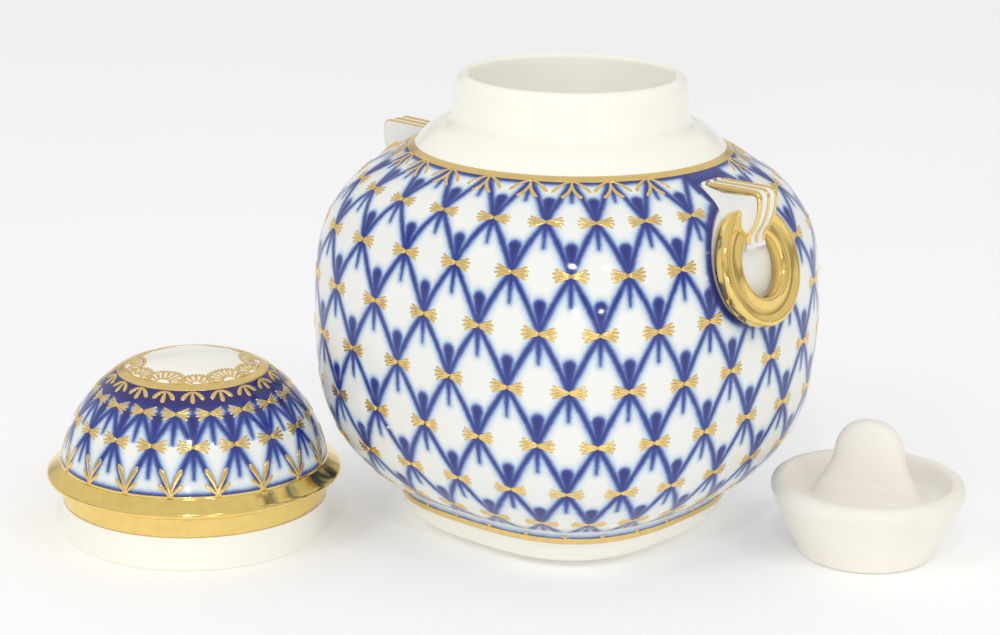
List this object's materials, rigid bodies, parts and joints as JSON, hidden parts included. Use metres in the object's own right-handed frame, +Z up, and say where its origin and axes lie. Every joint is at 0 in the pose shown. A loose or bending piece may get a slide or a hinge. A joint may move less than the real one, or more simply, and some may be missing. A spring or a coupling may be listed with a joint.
{
  "type": "porcelain tea caddy",
  "caption": "Rounded-square porcelain tea caddy with a cobalt net and gold bows, two fixed ring handles, a domed lid and an inner stopper standing beside it.",
  "frame": {"origin": "centre of the vessel's foot, on the table", "axes": "+Z up; -Y faces the viewer, the lid stands towards -X and the stopper towards +X; the right handle points 40.5 degrees from +X towards -Y"},
  "size_m": [0.2094, 0.1156, 0.1058],
  "materials": {
    "painted_porcelain": "clear gloss glaze over a soft-edged cobalt net, with gold bows and bands",
    "white_porcelain": "clear gloss glaze, with thin gold lines",
    "gilded_porcelain": "bright burnished gold over glaze",
    "biscuit_porcelain": "smooth unglazed taper, glazed rim, recess and fin"
  },
  "bodies": {
    "caddy": {"vessel": "painted_porcelain", "bracket_right": "white_porcelain", "bracket_left": "white_porcelain", "ring_right": "gilded_porcelain", "ring_left": "gilded_porcelain"},
    "lid": {"lid": "painted_porcelain"},
    "stopper": {"stopper": "biscuit_porcelain"}
  },
  "joints": [
    {"name": "lid_lift", "type": "slide", "parent": "caddy", "child": "lid", "axis": [-0.3725, -0.0397, 0.9272], "range_m": [0, 0.12]},
    {"name": "stopper_lift", "type": "slide", "parent": "caddy", "child": "stopper", "axis": [0.3586, -0.1085, 0.9272], "range_m": [0, 0.12]}
  ]
}
